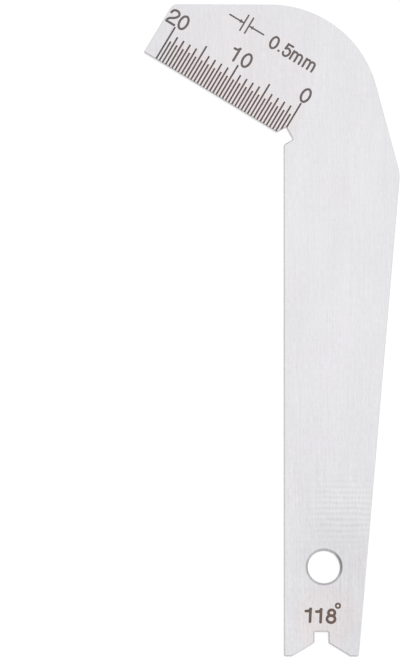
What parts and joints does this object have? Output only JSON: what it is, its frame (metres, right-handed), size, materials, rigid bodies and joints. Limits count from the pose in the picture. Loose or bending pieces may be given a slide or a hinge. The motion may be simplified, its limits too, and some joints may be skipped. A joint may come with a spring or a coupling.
{
  "type": "drill grinding gauge",
  "caption": "Flat one-piece steel gauge for drill points: a straight edge, an angled arm with an engraved millimetre scale, a point notch in the tail and a hanging hole.",
  "frame": {"origin": "centre of the outline's bounding box, on the back face that the gauge lies on", "axes": "+Y along the length from the tail's end to the head, +X from the arm's tip towards the hip, +Z out of the engraved face"},
  "size_m": [0.0348, 0.0888, 0.002],
  "materials": {
    "brushed_steel": "fine lengthwise brushed grain, engraved lines darkened"
  },
  "bodies": {
    "root": {"gauge_plate": "brushed_steel"}
  },
  "joints": []
}
